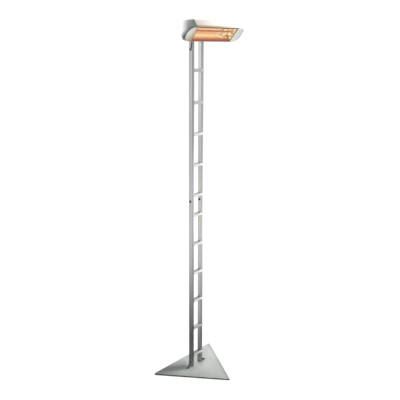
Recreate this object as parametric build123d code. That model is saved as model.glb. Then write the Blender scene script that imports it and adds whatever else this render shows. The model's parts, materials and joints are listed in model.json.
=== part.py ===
from build123d import *
from math import atan2, cos, degrees, hypot, pi, radians, sin
import os

# Free-standing infrared heater: a ladder column on a triangular plate, with a lamp head that tilts.
# Millimetres. Origin on the floor, midway between the posts. +Z is up, +X runs along the lamp, and the
# glowing mouth of the head looks towards -Y and down.

# ---- base -----------------------------------------------------------------------------------------
BASE_WIDTH = 582.0          # rear edge of the triangle
BASE_DEPTH = 430.0          # rear edge to the front corner
BASE_SETBACK = 124.0        # rear edge behind the line of the posts
BASE_THICK = 8.0
BASE_CORNER_R = 7.0
BASE_CHAMFER = 0.8
MAT_THICK = 2.0             # anti-slip underlay
MAT_INSET = 5.0

# ---- column ---------------------------------------------------------------------------------------
POST_SIZE = 25.0            # square tube, outside
POST_WALL = 2.0
POST_CORNER_R = 2.5
POST_SPACING = 88.0         # centre to centre
SPLIT_Z = 1160.0            # where the upper half stands on the lower half
POST_TOP_Z = 2300.0
SLIP = 0.2                  # gap on each side between a tube and what slides into it
INSERT_CORNER_R = 0.8       # corners of what slides into a post
SCREW_CLEAR = 0.05          # round a screw in its hole
SCREW_SHORT = 0.1           # a screw ends this far above the bottom of its hole

RUNG_HEIGHT = 20.0
RUNG_SHEET = 2.0
RUNG_BEND_R = 1.6
RUNG_REAR_IN = 1.0          # flanges end this far before the posts' rear faces
RUNG_LAP_R = 1.5            # corners of the lap on the right post
UPPER_RUNG_Z = SPLIT_Z + 66.0      # centre of the upper half's lowest rung
UPPER_RUNGS = 5
RUNG_PITCH = 200.0
LOWER_RUNG_Z = SPLIT_Z - 67.0      # centre of the lower half's highest rung
LOWER_RUNGS = 6

SPIGOT_WALL = 2.0
SPIGOT_HALF = 62.0          # length of the spigot each side of the split
JOINT_BOLT_ABOVE = 31.0     # joint bolt above the split
JOINT_BOLT_D = 8.0
JOINT_HEAD_D = 16.0
JOINT_HEAD_H = 5.0

STUB_WALL = 3.0
STUB_HEIGHT = 50.0
FOOT_SHEET = 3.0            # black foot brackets: a strap down the post, a slope and a foot on the plate
FOOT_WIDTH = 16.0
FOOT_REACH = 36.0           # from the post's side to the end of the foot
FOOT_RISE = 42.0
FOOT_FLAT = 15.0            # strap against the post, and foot on the plate
FOOT_BEND_R = 4.0
FOOT_END_R = 3.0
STUB_SCREW_UP = 12.0        # screw in each post's inner side, above the plate
FOOT_SCREW_D = 6.0
FOOT_HEAD_D = 10.0
FOOT_HEAD_H = 3.3
CAP_THICK = 4.0
CAP_PLUG = 12.0
CAP_EDGE_R = 1.2

# ---- head: a section across it is given by (height up the mouth's plane, depth behind it) -----------
LIP_Y = -118.0              # lower lip of the mouth, before the posts
LIP_Z = POST_TOP_Z - 102.0
MOUTH_LEAN = 38.0           # degrees that the mouth's plane leans forward
MOUTH_HEIGHT = 105.0
SHEET = 1.5                 # housing wall
HEM = 3.0                   # visible edge of the housing round the mouth
BODY_HALF = 195.0           # half length of the folded housing
# corners of the folded housing from the lower lip round the back to the upper lip: height, depth, radius
BODY_CORNERS = [
    (0.0, 0.0, 0.6),
    (-14.0, 26.0, 12.0),
    (6.0, 72.0, 12.0),
    (MOUTH_HEIGHT - 31.0, 103.0, 16.0),
    (MOUTH_HEIGHT + 17.0, 47.0, 14.0),
    (MOUTH_HEIGHT, 0.0, 0.6),
]
CAP_FLARE = 62.0            # how far an end cap reaches beyond the folded housing
CAP_WALL = 3.0
# where the corners of the housing's section end up at the tip of an end cap: height above the middle of the
# mouth, depth
CAP_TIP = [(-9.5, 0.0), (-10.5, 3.0), (-5.5, 8.0), (10.5, 9.0), (28.5, 4.0), (26.5, 0.0)]
CAP_TURNS = (0, 24, 44, 60, 73, 82, 87)     # degrees through which a cap's plan turns, section by section
CAP_LIP = 10.0              # tongue of the end cap inside the housing
TONGUE_FROM = 24.0          # the tongue starts this far behind the mouth
CAP_FLANGE_INTO = 4.0       # the flange beside the mouth runs this far into the cap's front
CAP_FLANGE_R = 1.0
CAP_SCREW_D = 4.0
CAP_SCREW_HEAD_D = 7.6
CAP_SCREW_HEAD_H = 2.2
CAP_SCREW_ALONG = (0.25, 0.75)      # shares of the rear wall, from its lower end
MOUTH_HALF_LOW = 178.0      # half width of the mouth at its lower edge
MOUTH_HALF_HIGH = 190.0     # and at its upper edge

FRAME_SHEET = 1.5
FRAME_SHOW_LOW = 10.0       # frame that shows above the lower hem
FRAME_SHOW_HIGH = 6.0       # below the upper hem
FRAME_SHOW_END = 5.0        # and beside the end caps
FRAME_HIDDEN = 1.0          # frame that the hems cover
FRAME_CORNER_R = 4.0
FRAME_END_GAP = 1.0         # frame short of the end caps
REFLECTOR_SHEET = 1.0
REFLECTOR_HALF = 191.0
# folds of the reflector from its lower edge to its upper edge: height, depth behind the frame
REFLECTOR_FOLDS = [
    (12.0, 0.0),
    (21.0, 30.0),
    (43.0, 45.0),
    (MOUTH_HEIGHT - 37.0, 45.0),
    (MOUTH_HEIGHT - 16.0, 30.0),
    (MOUTH_HEIGHT - 8.0, 0.0),
]
REFLECTOR_FLANGE = 3.0
REFLECTOR_BEND_R = 4.0
EDGE_R = 0.2                # corners that are all but sharp
JOIN = 0.5                  # pieces of one part run this far into each other

LAMP_HEIGHT = MOUTH_HEIGHT / 2 + 3.0
LAMP_DEPTH = 27.0
LAMP_R = 5.5
LAMP_WALL = 1.0
LAMP_HALF = 171.0
FILAMENT_R = 1.6
LAMP_BASE_R = 6.7
LAMP_BASE_LENGTH = 10.0
HOLDER_SIZE = (22.0, 18.0)
HOLDER_CORNER_R = 3.0

# ---- tilt pivot, terminal box and bracket -----------------------------------------------------------
PIVOT_Y = -35.0
PIVOT_Z = POST_TOP_Z - 21.0
BOX_R = 17.0                # round back of the terminal box, about the pivot
BOX_WALL = 3.0
GASKET = 1.5
WASHER_THICK = 2.4
WASHER_R = 11.0
RUN_GAP = 0.1               # end play at each bracket ear
PIVOT_R = 6.0
PIVOT_CLEAR = 0.06          # in the bracket ears, where it turns
PIVOT_PRESS = 0.02          # in the terminal box, where it is screwed home
PIVOT_HEAD_R = 9.5
PIVOT_HEAD_H = 4.0
PIVOT_HEAD_CHAMFER = 1.2
BOX_BOSS_R = 3.6
BOX_BOSS_IN = 1.0           # the bosses run this far into the walls
BOX_SCREW_D = 4.0
BOX_SCREW_HEAD_D = 7.6
BOX_SCREW_HEAD_H = 2.2
BOX_SCREW_GRIP = 10.0
BOX_BOSS_PAST = 2.0         # boss beyond the end of its screw
WIRING_HOLE = (30.0, 14.0)
WIRING_X = 24.0
BLOCK_SIZE = (38.0, 17.0, 13.0)
BLOCK_X = -19.0
BLOCK_EDGE_R = 1.0
BRACKET_SHEET = 3.0
BRACKET_LOW_Z = POST_TOP_Z - 45.0
EAR_R = 15.0
BRACKET_SCREW_D = 5.0
BRACKET_HEAD_D = 9.0
BRACKET_HEAD_H = 2.6
BRACKET_SCREW_PAST = 3.5    # screw beyond the post's wall
BRACKET_SCREW_Z = (POST_TOP_Z - 38.0, POST_TOP_Z - 7.0)

# ---- lamp lead ---------------------------------------------------------------------------------------
LEAD_D = 7.0
LEAD_BORE_R = 3.8           # bore that the lead passes with a little room
LEAD_START_IN = 6.6         # end of the lead inside the hollow pivot, from the post's side
GROMMET_Z = POST_TOP_Z - 150.0
GROMMET_Y = -2.5
GLAND_Z = 80.0
GROMMET_R = 6.5             # outer flange
GROMMET_HOLE_R = 5.0        # hole in the post
GROMMET_LIP = 2.0           # flange outside the post
GROMMET_INNER_R = 6.0       # flange inside the post
GROMMET_INNER_LIP = 1.5
GLAND_R = 6.0               # hole in the post
GLAND_HEX = 16.0            # across the flats
GLAND_BODY = 4.0
GLAND_NUT = 5.0
GLAND_NUT_IN = 0.5          # the nut is this much smaller than the hexagon
GLAND_DOME = (2.5, 3.0)     # rounding of the nut: how far in, how high
GLAND_LOCKNUT = 2.0
GLAND_ENTRY = 3.0           # recess where the mains cord goes in

PLATE_TOP = MAT_THICK + BASE_THICK
POST_INNER = POST_SIZE - 2 * POST_WALL
INSERT_SIZE = POST_INNER - 2 * SLIP
POST_X = POST_SPACING / 2
INNER_FACE_X = POST_X - POST_SIZE / 2
OUTER_FACE_X = POST_X + POST_SIZE / 2
EAR_INNER_X = OUTER_FACE_X - BRACKET_SHEET
BOX_HALF = EAR_INNER_X - RUN_GAP - WASHER_THICK
BRACKET_FRONT_Y = -POST_SIZE / 2 - BRACKET_SHEET
LEAD_START_X = LEAD_START_IN - OUTER_FACE_X
# from inside the hollow pivot, down beside the left post, in at the grommet and down the post to the gland
LEAD_ROUTE = [
    (LEAD_START_X, PIVOT_Y, PIVOT_Z),
    (-OUTER_FACE_X - 21.5, PIVOT_Y, PIVOT_Z),
    (-OUTER_FACE_X - 21.5, PIVOT_Y + 7, PIVOT_Z - 39),
    (-OUTER_FACE_X - 13.5, PIVOT_Y + 8, GROMMET_Z + 55),
    (-OUTER_FACE_X - 19.5, PIVOT_Y + 9, GROMMET_Z + 28),
    (-OUTER_FACE_X - 14.5, GROMMET_Y - 17.5, GROMMET_Z + 6),
    (-OUTER_FACE_X - 11.5, GROMMET_Y, GROMMET_Z),
    (-POST_X, GROMMET_Y, GROMMET_Z),
    (-POST_X + 0.3, GROMMET_Y + 0.5, GROMMET_Z - 16),
    (-POST_X - 0.1, -1.6, GLAND_Z + 24),
    (-POST_X, -3, GLAND_Z),
    (-POST_X, POST_SIZE / 2 + 2, GLAND_Z),
]
SIDES = {"left": -1, "right": 1}
os.makedirs("parts", exist_ok=True)


def save(shape, node):
    """Write one sub-part."""
    export_step(shape, f"parts/{node}.step")


def square_tube(size, wall, corner_r, low_z, high_z):
    """Upright square tube on the Z axis."""
    outer = RectangleRounded(size, size, corner_r)
    inner_r = max(corner_r - wall, 0.4)
    inner = RectangleRounded(size - 2 * wall, size - 2 * wall, inner_r)
    return Pos(0, 0, low_z) * extrude(outer - inner, high_z - low_z)


def socket_screw(shank_d, shank_length, head_d, head_h, key=0.5):
    """Button-head screw along Z: the head stands on z = 0, the shank hangs below it."""
    shank = Pos(0, 0, -shank_length / 2) * Cylinder(shank_d / 2, shank_length)
    rim, crown = head_d / 2, 0.3 * head_d
    profile = Polyline((0, 0), (rim, 0), (rim, 0.3 * head_h), (crown, head_h), (0, head_h), close=True)
    head = revolve(Plane.XZ * make_face(profile), Axis.Z)
    socket = Pos(0, 0, 0.4 * head_h) * extrude(RegularPolygon(key * shank_d / 2, 6), head_h)
    return shank + head - socket


def facing(point, normal):
    """Plane at a point whose Z axis is the given normal."""
    return Plane(origin=point, z_dir=normal)


# ---- base -----------------------------------------------------------------------------------------

def triangle(inset):
    """Plan of the base, drawn in by the inset, with rounded corners."""
    half = BASE_WIDTH / 2
    side = hypot(half, BASE_DEPTH)
    rear = BASE_SETBACK - inset
    front = BASE_SETBACK - BASE_DEPTH + inset * side / half
    half_rear = (rear - front) * half / BASE_DEPTH
    outline = FilletPolyline(
        (-half_rear, rear), (0, front), (half_rear, rear), radius=BASE_CORNER_R, close=True)
    return make_face(outline)


def foot_screw_places():
    """Where the foot screws' heads seat: on each bracket's strap and foot, and in each post's inner side."""
    places = []
    for side in SIDES.values():
        out_x = side * (OUTER_FACE_X + FOOT_SHEET)
        strap_z = PLATE_TOP + FOOT_RISE - FOOT_FLAT / 2
        places.append((facing((out_x, 0, strap_z), (side, 0, 0)), "post"))
        plate_x = side * (OUTER_FACE_X + FOOT_REACH - FOOT_FLAT / 2)
        places.append((facing((plate_x, 0, PLATE_TOP + FOOT_SHEET), (0, 0, 1)), "plate"))
        places.append((facing((side * INNER_FACE_X, 0, PLATE_TOP + STUB_SCREW_UP), (-side, 0, 0)), "stub"))
    return places


def foot_screw_length(where):
    """Shank length: through the bracket, then the post and its stub, or into the plate."""
    through_post = POST_WALL + SLIP + STUB_WALL
    lengths = {"post": FOOT_SHEET + through_post, "plate": FOOT_SHEET + 0.75 * BASE_THICK, "stub": through_post}
    return lengths[where]


def foot_screw_holes():
    """Clearance holes for all the foot screws."""
    holes = []
    for place, where in foot_screw_places():
        depth = foot_screw_length(where)
        holes.append(place * Pos(0, 0, -depth / 2) * Cylinder(FOOT_SCREW_D / 2 + SCREW_CLEAR, depth))
    return holes


def build_base():
    """Plate, underlay, stubs, foot brackets and their screws."""
    mat = extrude(triangle(MAT_INSET), MAT_THICK)
    save(mat, "base_mat")
    plate = Pos(0, 0, MAT_THICK) * extrude(triangle(0), BASE_THICK)
    rims = plate.faces().sort_by(Axis.Z)[-1].edges() + plate.faces().sort_by(Axis.Z)[0].edges()
    plate = chamfer(rims, BASE_CHAMFER)
    holes = foot_screw_holes()
    save(plate - holes, "base_plate")
    for name, side in SIDES.items():
        stub = square_tube(INSERT_SIZE, STUB_WALL, INSERT_CORNER_R, PLATE_TOP, PLATE_TOP + STUB_HEIGHT)
        save(Pos(side * POST_X, 0, 0) * stub - holes, f"{name}_foot_stub")
        save(foot_bracket(side) - holes, f"{name}_foot_bracket")
    screws = []
    for place, where in foot_screw_places():
        shank = foot_screw_length(where) - SCREW_SHORT
        screws.append(place * socket_screw(FOOT_SCREW_D, shank, FOOT_HEAD_D, FOOT_HEAD_H))
    save(Compound(screws), "foot_screws")


def foot_bracket(side):
    """Strap bracket beside a post: flat on the post, sloping down, then flat on the plate."""
    half = FOOT_SHEET / 2
    slope_top, slope_end = FOOT_RISE - FOOT_FLAT, FOOT_REACH - FOOT_FLAT
    middle = FilletPolyline(
        (half, FOOT_RISE), (half, slope_top), (slope_end, half), (FOOT_REACH, half), radius=FOOT_BEND_R)
    start = Plane(origin=(half, 0, FOOT_RISE), x_dir=(0, 1, 0), z_dir=(0, 0, -1))
    strap = sweep(start * Rectangle(FOOT_WIDTH, FOOT_SHEET), path=Plane.XZ * middle)
    strap_end = strap.edges().filter_by(Axis.X).group_by(Axis.Z)[-1]
    foot_end = strap.edges().filter_by(Axis.Z).group_by(Axis.X)[-1]
    strap = fillet(strap_end + foot_end, FOOT_END_R)
    strap = Pos(OUTER_FACE_X, 0, PLATE_TOP) * strap
    return strap if side > 0 else mirror(strap, Plane.YZ)


# ---- column ---------------------------------------------------------------------------------------

def rung_heights():
    """Centre heights of the rungs, from the top one down."""
    upper = [UPPER_RUNG_Z + i * RUNG_PITCH for i in range(UPPER_RUNGS)]
    lower = [LOWER_RUNG_Z - i * RUNG_PITCH for i in range(LOWER_RUNGS)]
    return upper[::-1] + lower


def rung(z):
    """Folded rung: a channel between the posts whose web runs on across the right post's front."""
    half = RUNG_HEIGHT / 2
    front = POST_SIZE / 2 + RUNG_SHEET
    rear = POST_SIZE / 2 - RUNG_REAR_IN
    outer = FilletPolyline(
        (rear, half), (-front, half), (-front, -half), (rear, -half), radius=RUNG_BEND_R + RUNG_SHEET)
    inner_half, web = half - RUNG_SHEET, RUNG_SHEET - front
    inner = FilletPolyline(
        (rear, inner_half), (web, inner_half), (web, -inner_half), (rear, -inner_half), radius=RUNG_BEND_R)
    ends = [Line((rear, half), (rear, inner_half)), Line((rear, -half), (rear, -inner_half))]
    section = make_face(Curve() + [outer, inner] + ends)
    channel = extrude(Plane.YZ * section, INNER_FACE_X, both=True)
    lap_length = OUTER_FACE_X - INNER_FACE_X
    lap_high = RUNG_HEIGHT - 2 * RUNG_BEND_R
    lap = Pos(POST_X - JOIN / 2, RUNG_SHEET / 2 - front, 0) * Box(lap_length + JOIN, RUNG_SHEET, lap_high)
    lap = fillet(lap.edges().filter_by(Axis.Y).group_by(Axis.X)[-1], RUNG_LAP_R)
    return Pos(0, 0, z) * (channel + lap)


def joint_bolt_places():
    """Seats of the two joint bolts, on the left-hand side of each post."""
    z = SPLIT_Z + JOINT_BOLT_ABOVE
    return [facing((side * POST_X - POST_SIZE / 2, 0, z), (-1, 0, 0)) for side in SIDES.values()]


def build_column():
    """Posts, spigots, rungs, joint bolts and caps."""
    depth = POST_WALL + SLIP + SPIGOT_WALL
    bolt_hole = Pos(0, 0, -depth / 2) * Cylinder(JOINT_BOLT_D / 2 + SCREW_CLEAR, depth)
    bolt_holes = [place * bolt_hole for place in joint_bolt_places()]
    lead_holes = [
        facing((-OUTER_FACE_X, GROMMET_Y, GROMMET_Z), (-1, 0, 0)) * Cylinder(GROMMET_HOLE_R, 2 * POST_WALL + 1),
        facing((-POST_X, POST_SIZE / 2, GLAND_Z), (0, 1, 0)) * Cylinder(GLAND_R, 2 * POST_WALL + 1),
    ]
    for name, side in SIDES.items():
        place = Pos(side * POST_X, 0, 0)
        lower = square_tube(POST_SIZE, POST_WALL, POST_CORNER_R, PLATE_TOP, SPLIT_Z)
        upper = square_tube(POST_SIZE, POST_WALL, POST_CORNER_R, SPLIT_Z, POST_TOP_Z)
        lower = place * lower - foot_screw_holes()
        upper = place * upper - bolt_holes - bracket_screw_holes()
        if name == "left":
            lower -= lead_holes
            upper -= lead_holes
        save(lower, f"{name}_lower_post")
        save(upper, f"{name}_upper_post")
        ends = SPLIT_Z - SPIGOT_HALF, SPLIT_Z + SPIGOT_HALF
        spigot = square_tube(INSERT_SIZE, SPIGOT_WALL, INSERT_CORNER_R, *ends)
        save(place * spigot - bolt_holes, f"{name}_spigot")
        top = extrude(RectangleRounded(POST_SIZE, POST_SIZE, POST_CORNER_R), CAP_THICK)
        top = Pos(0, 0, POST_TOP_Z) * fillet(top.faces().sort_by(Axis.Z)[-1].edges(), CAP_EDGE_R)
        plug = square_tube(INSERT_SIZE, SPIGOT_WALL, INSERT_CORNER_R, POST_TOP_Z - CAP_PLUG, POST_TOP_Z)
        save(place * (top + plug) - bracket_screw_holes(), f"{name}_post_cap")
    for number, z in enumerate(rung_heights(), start=1):
        save(rung(z), f"rung_{number:02d}")
    bolt = socket_screw(JOINT_BOLT_D, depth - SCREW_SHORT, JOINT_HEAD_D, JOINT_HEAD_H)
    save(Compound([p * bolt for p in joint_bolt_places()]), "joint_bolts")


# ---- head -----------------------------------------------------------------------------------------

def section_plane(x):
    """Plane across the head: local x runs up the mouth's plane, local y runs out of the mouth."""
    lean = radians(MOUTH_LEAN)
    return Plane(origin=(x, LIP_Y, LIP_Z), x_dir=(0, -sin(lean), cos(lean)), z_dir=(1, 0, 0))


def mouth_plane():
    """The mouth's plane: local x is +X, local y runs up it, local z points out of the head."""
    lean = radians(MOUTH_LEAN)
    return Plane(origin=(0, LIP_Y, LIP_Z), x_dir=(1, 0, 0), z_dir=(0, -cos(lean), -sin(lean)))


def to_section(y, z):
    """Height and depth of a point of the head's middle section."""
    lean = radians(MOUTH_LEAN)
    dy, dz = y - LIP_Y, z - LIP_Z
    return -sin(lean) * dy + cos(lean) * dz, cos(lean) * dy + sin(lean) * dz


def inset_corners(corners, gap):
    """Move each side of a closed outline inwards by the gap and return the new corners."""
    count = len(corners)
    moved = []
    for i in range(count):
        ax, ay = corners[i - 1]
        bx, by = corners[i]
        cx, cy = corners[(i + 1) % count]
        first = atan2(by - ay, bx - ax)
        second = atan2(cy - by, cx - bx)
        turn = sin(second - first)
        shift = gap / turn
        moved.append((bx + shift * (cos(second) - cos(first)), by + shift * (sin(second) - sin(first))))
    return moved


def body_face(gap=0.0):
    """Closed outline of the housing's section, drawn in by the gap."""
    corners = [(height, -depth) for height, depth, _ in BODY_CORNERS]
    radii = [max(radius - gap, 0.4) for _, _, radius in BODY_CORNERS]
    if gap:
        corners = inset_corners(corners, gap)
    return make_face(FilletPolyline(*corners, radius=radii, close=True))


def along_head(face, low_x, high_x):
    """Carry a section of the head from one X to another."""
    return extrude(section_plane(low_x) * face, high_x - low_x)


def mouth_cut(depth):
    """Section of the mouth's opening, between the hems."""
    height = MOUTH_HEIGHT - 2 * HEM
    return Pos(MOUTH_HEIGHT / 2, -depth / 2 + 1) * Rectangle(height, depth + 2)


def build_housing():
    """Folded housing with hemmed lips and a wiring hole in its back."""
    section = body_face() - body_face(SHEET) - mouth_cut(2 * SHEET)
    shell = along_head(section, -BODY_HALF, BODY_HALF)
    save(shell - wiring_hole() - box_screw_holes() - cap_screw_holes(), "housing_shell")


def cap_section(turn, gap):
    """Section of an end cap where its plan has turned by an angle, from 0 at the housing to 90 at the tip."""
    shrink = cos(radians(turn))
    corners = [(height, -depth) for height, depth, _ in BODY_CORNERS]
    tips = [(MOUTH_HEIGHT / 2 + height, -depth) for height, depth in CAP_TIP]
    if gap:
        corners = inset_corners(corners, gap)
        tips = [(height, min(level + gap, -gap)) for height, level in tips]
    moved = []
    for corner, tip in zip(corners, tips):
        moved.append((tip[0] + (corner[0] - tip[0]) * shrink, tip[1] + (corner[1] - tip[1]) * shrink))
    radii = [max((radius - gap) * shrink, 0.4) for _, _, radius in BODY_CORNERS]
    return make_face(FilletPolyline(*moved, radius=radii, close=True))


def cap_loft(gap, start, reach):
    """Flared form of an end cap, drawn in by the gap, from its start to its reach beyond the housing."""
    sections = []
    for turn in CAP_TURNS:
        x = BODY_HALF + start + (reach - start) * sin(radians(turn))
        sections.append(section_plane(x) * cap_section(turn, gap))
    return loft(sections)


def cap_screw_places():
    """Seats of the end caps' screws on the rear wall, with z pointing away from the head."""
    x = BODY_HALF - CAP_LIP / 2
    low, high = BODY_CORNERS[2], BODY_CORNERS[3]
    turn = Rot(0, 0, degrees(rear_wall()[1]) - 180) * Rot(-90, 0, 0)
    places = []
    for share in CAP_SCREW_ALONG:
        seat = Pos(low[0] + share * (high[0] - low[0]), -low[1] - share * (high[1] - low[1]))
        places += [section_plane(side * x) * seat * turn for side in SIDES.values()]
    return places


def cap_screw_depth():
    """From the outside of the housing to the inside of a cap's tongue."""
    return SHEET + SLIP + SHEET


def cap_screw_holes():
    """Clearance holes for the end caps' screws."""
    depth = 2 * cap_screw_depth()
    return [place * Cylinder(CAP_SCREW_D / 2 + SCREW_CLEAR, depth) for place in cap_screw_places()]


def build_end_caps():
    """Flared end caps: a hollow shell, a tongue inside the housing and a flange beside the mouth."""
    shell = cap_loft(0, 0, CAP_FLARE) - cap_loft(CAP_WALL, -0.01, CAP_FLARE - CAP_WALL)
    inner_gap = SHEET + SLIP
    clear = Pos(MOUTH_HEIGHT / 2, 0) * Rectangle(2 * MOUTH_HEIGHT, 2 * TONGUE_FROM)
    tongue_section = body_face(inner_gap) - body_face(inner_gap + SHEET) - clear
    tongue = along_head(tongue_section, BODY_HALF - CAP_LIP, BODY_HALF + CAP_WALL)
    low, high = HEM + SLIP, MOUTH_HEIGHT - HEM - SLIP
    root_x = BODY_HALF + CAP_FLANGE_INTO
    flange_face = make_face(FilletPolyline(
        (root_x, low), (MOUTH_HALF_LOW, low), (MOUTH_HALF_HIGH, high), (root_x, high),
        radius=(EDGE_R, CAP_FLANGE_R, CAP_FLANGE_R, EDGE_R), close=True))
    flange = mouth_plane() * Pos(0, 0, -SHEET) * extrude(flange_face, SHEET)
    cap = shell + tongue + flange - cap_screw_holes()
    save(cap, "right_end_cap")
    save(mirror(cap, Plane.YZ), "left_end_cap")
    screw = socket_screw(CAP_SCREW_D, cap_screw_depth() - SCREW_SHORT, CAP_SCREW_HEAD_D, CAP_SCREW_HEAD_H)
    save(Compound([place * screw for place in cap_screw_places()]), "end_cap_screws")


def bends(radius):
    """Corner radii round the reflector's trough: nearly sharp at its two edges."""
    return (EDGE_R,) + 4 * (radius,) + (EDGE_R,)


def build_mouth():
    """Frame, reflector and reflector ends."""
    low, high = HEM - FRAME_HIDDEN, MOUTH_HEIGHT - HEM + FRAME_HIDDEN
    outer = Pos(0, (low + high) / 2) * Rectangle(2 * (BODY_HALF - FRAME_END_GAP), high - low)
    show_low, show_high = HEM + FRAME_SHOW_LOW, MOUTH_HEIGHT - HEM - FRAME_SHOW_HIGH
    slope = (MOUTH_HALF_HIGH - MOUTH_HALF_LOW) / MOUTH_HEIGHT
    half_low = MOUTH_HALF_LOW + slope * show_low - FRAME_SHOW_END
    half_high = MOUTH_HALF_LOW + slope * show_high - FRAME_SHOW_END
    hole = make_face(FilletPolyline(
        (-half_low, show_low), (half_low, show_low), (half_high, show_high), (-half_high, show_high),
        radius=FRAME_CORNER_R, close=True))
    frame = mouth_plane() * Pos(0, 0, -SHEET - FRAME_SHEET) * extrude(outer - hole, FRAME_SHEET)
    save(frame, "front_frame")

    back = SHEET + FRAME_SHEET
    folds = [(height, -back - depth) for height, depth in REFLECTOR_FOLDS]
    trough_face = make_face(FilletPolyline(*folds, radius=bends(REFLECTOR_BEND_R), close=True))
    bore_corners = inset_corners(folds, REFLECTOR_SHEET)
    bore_corners[0] = (folds[0][0] + REFLECTOR_SHEET, folds[0][1] + 1)
    bore_corners[-1] = (folds[-1][0] - REFLECTOR_SHEET, folds[-1][1] + 1)
    bore = FilletPolyline(*bore_corners, radius=bends(REFLECTOR_BEND_R - REFLECTOR_SHEET), close=True)
    trough = along_head(trough_face - make_face(bore), -REFLECTOR_HALF, REFLECTOR_HALF)
    for edge_height, way in ((folds[0][0], -1), (folds[-1][0], 1)):
        strip = Rectangle(REFLECTOR_FLANGE + JOIN, REFLECTOR_SHEET)
        strip = Pos(edge_height + way * (REFLECTOR_FLANGE - JOIN) / 2, -back - REFLECTOR_SHEET / 2) * strip
        trough += along_head(strip, -REFLECTOR_HALF, REFLECTOR_HALF)
    save(trough, "reflector")
    for name, side in SIDES.items():
        low_x = REFLECTOR_HALF if side > 0 else -REFLECTOR_HALF - REFLECTOR_SHEET
        save(along_head(trough_face, low_x, low_x + REFLECTOR_SHEET), f"{name}_reflector_end")


def lamp_rod(radius, low_x, high_x):
    """Round rod on the lamp's axis."""
    disc = Pos(LAMP_HEIGHT, -SHEET - FRAME_SHEET - LAMP_DEPTH) * Circle(radius)
    return along_head(disc, low_x, high_x)


def build_lamp():
    """Quartz tube, filament, ceramic lamp ends and their holders."""
    tube = lamp_rod(LAMP_R, -LAMP_HALF, LAMP_HALF) - lamp_rod(LAMP_R - LAMP_WALL, -LAMP_HALF, LAMP_HALF)
    save(tube, "quartz_tube")
    save(lamp_rod(FILAMENT_R, -LAMP_HALF, LAMP_HALF), "lamp_filament")
    for name, side in SIDES.items():
        ends = sorted((side * LAMP_HALF, side * (LAMP_HALF + LAMP_BASE_LENGTH)))
        save(lamp_rod(LAMP_BASE_R, *ends), f"{name}_lamp_base")
        ends = sorted((side * (LAMP_HALF + LAMP_BASE_LENGTH), side * REFLECTOR_HALF))
        block = RectangleRounded(*HOLDER_SIZE, HOLDER_CORNER_R)
        block = Pos(LAMP_HEIGHT, -SHEET - FRAME_SHEET - LAMP_DEPTH) * block
        save(along_head(block, *ends), f"{name}_lamp_holder")


# ---- tilt pivot, terminal box and bracket -----------------------------------------------------------

def rear_wall():
    """Lower end and direction of the housing's rear wall, in the head's section."""
    low, high = BODY_CORNERS[2], BODY_CORNERS[3]
    return (low[0], -low[1]), atan2(low[1] - high[1], high[0] - low[0])


def pivot_to_wall():
    """Distance from the tilt axis to the outside of the rear wall."""
    height, depth = to_section(PIVOT_Y, PIVOT_Z)
    low, angle = rear_wall()
    return sin(angle) * (height - low[0]) - cos(angle) * (-depth - low[1])


def on_rear_wall(x):
    """Place on the rear wall under the tilt axis: local y points away from the head, local z along +X."""
    height, depth = to_section(PIVOT_Y, PIVOT_Z)
    angle = rear_wall()[1]
    reach = pivot_to_wall()
    foot = Pos(height - reach * sin(angle), -depth + reach * cos(angle))
    return section_plane(x) * foot * Rot(0, 0, degrees(angle) - 180)


def box_screw_places():
    """Screw axes of the terminal box, with z pointing away from the head from the inside of the wall."""
    spread = BOX_R - BOX_WALL - BOX_BOSS_R + BOX_BOSS_IN
    end = BOX_HALF - BOX_WALL - BOX_BOSS_R + BOX_BOSS_IN
    return [on_rear_wall(x) * Pos(across, -SHEET, 0) * Rot(-90, 0, 0)
            for x in (-end, end) for across in (-spread, spread)]


def box_screw_holes():
    """Clearance holes for the terminal box screws."""
    length = SHEET + GASKET + BOX_SCREW_GRIP
    hole = Pos(0, 0, length / 2) * Cylinder(BOX_SCREW_D / 2 + SCREW_CLEAR, length)
    return [place * hole for place in box_screw_places()]


def wiring_hole():
    """Hole through the rear wall and the gasket for the lamp wires."""
    return on_rear_wall(WIRING_X) * Box(WIRING_HOLE[1], 4 * (SHEET + GASKET), WIRING_HOLE[0])


def box_section(radius, floor):
    """Round-backed section of the terminal box: a half circle about the tilt axis and straight cheeks."""
    reach = pivot_to_wall()
    cheeks = Pos(0, (reach + floor) / 2) * Rectangle(2 * radius, reach - floor)
    return Pos(0, reach) * Circle(radius) + cheeks


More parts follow.
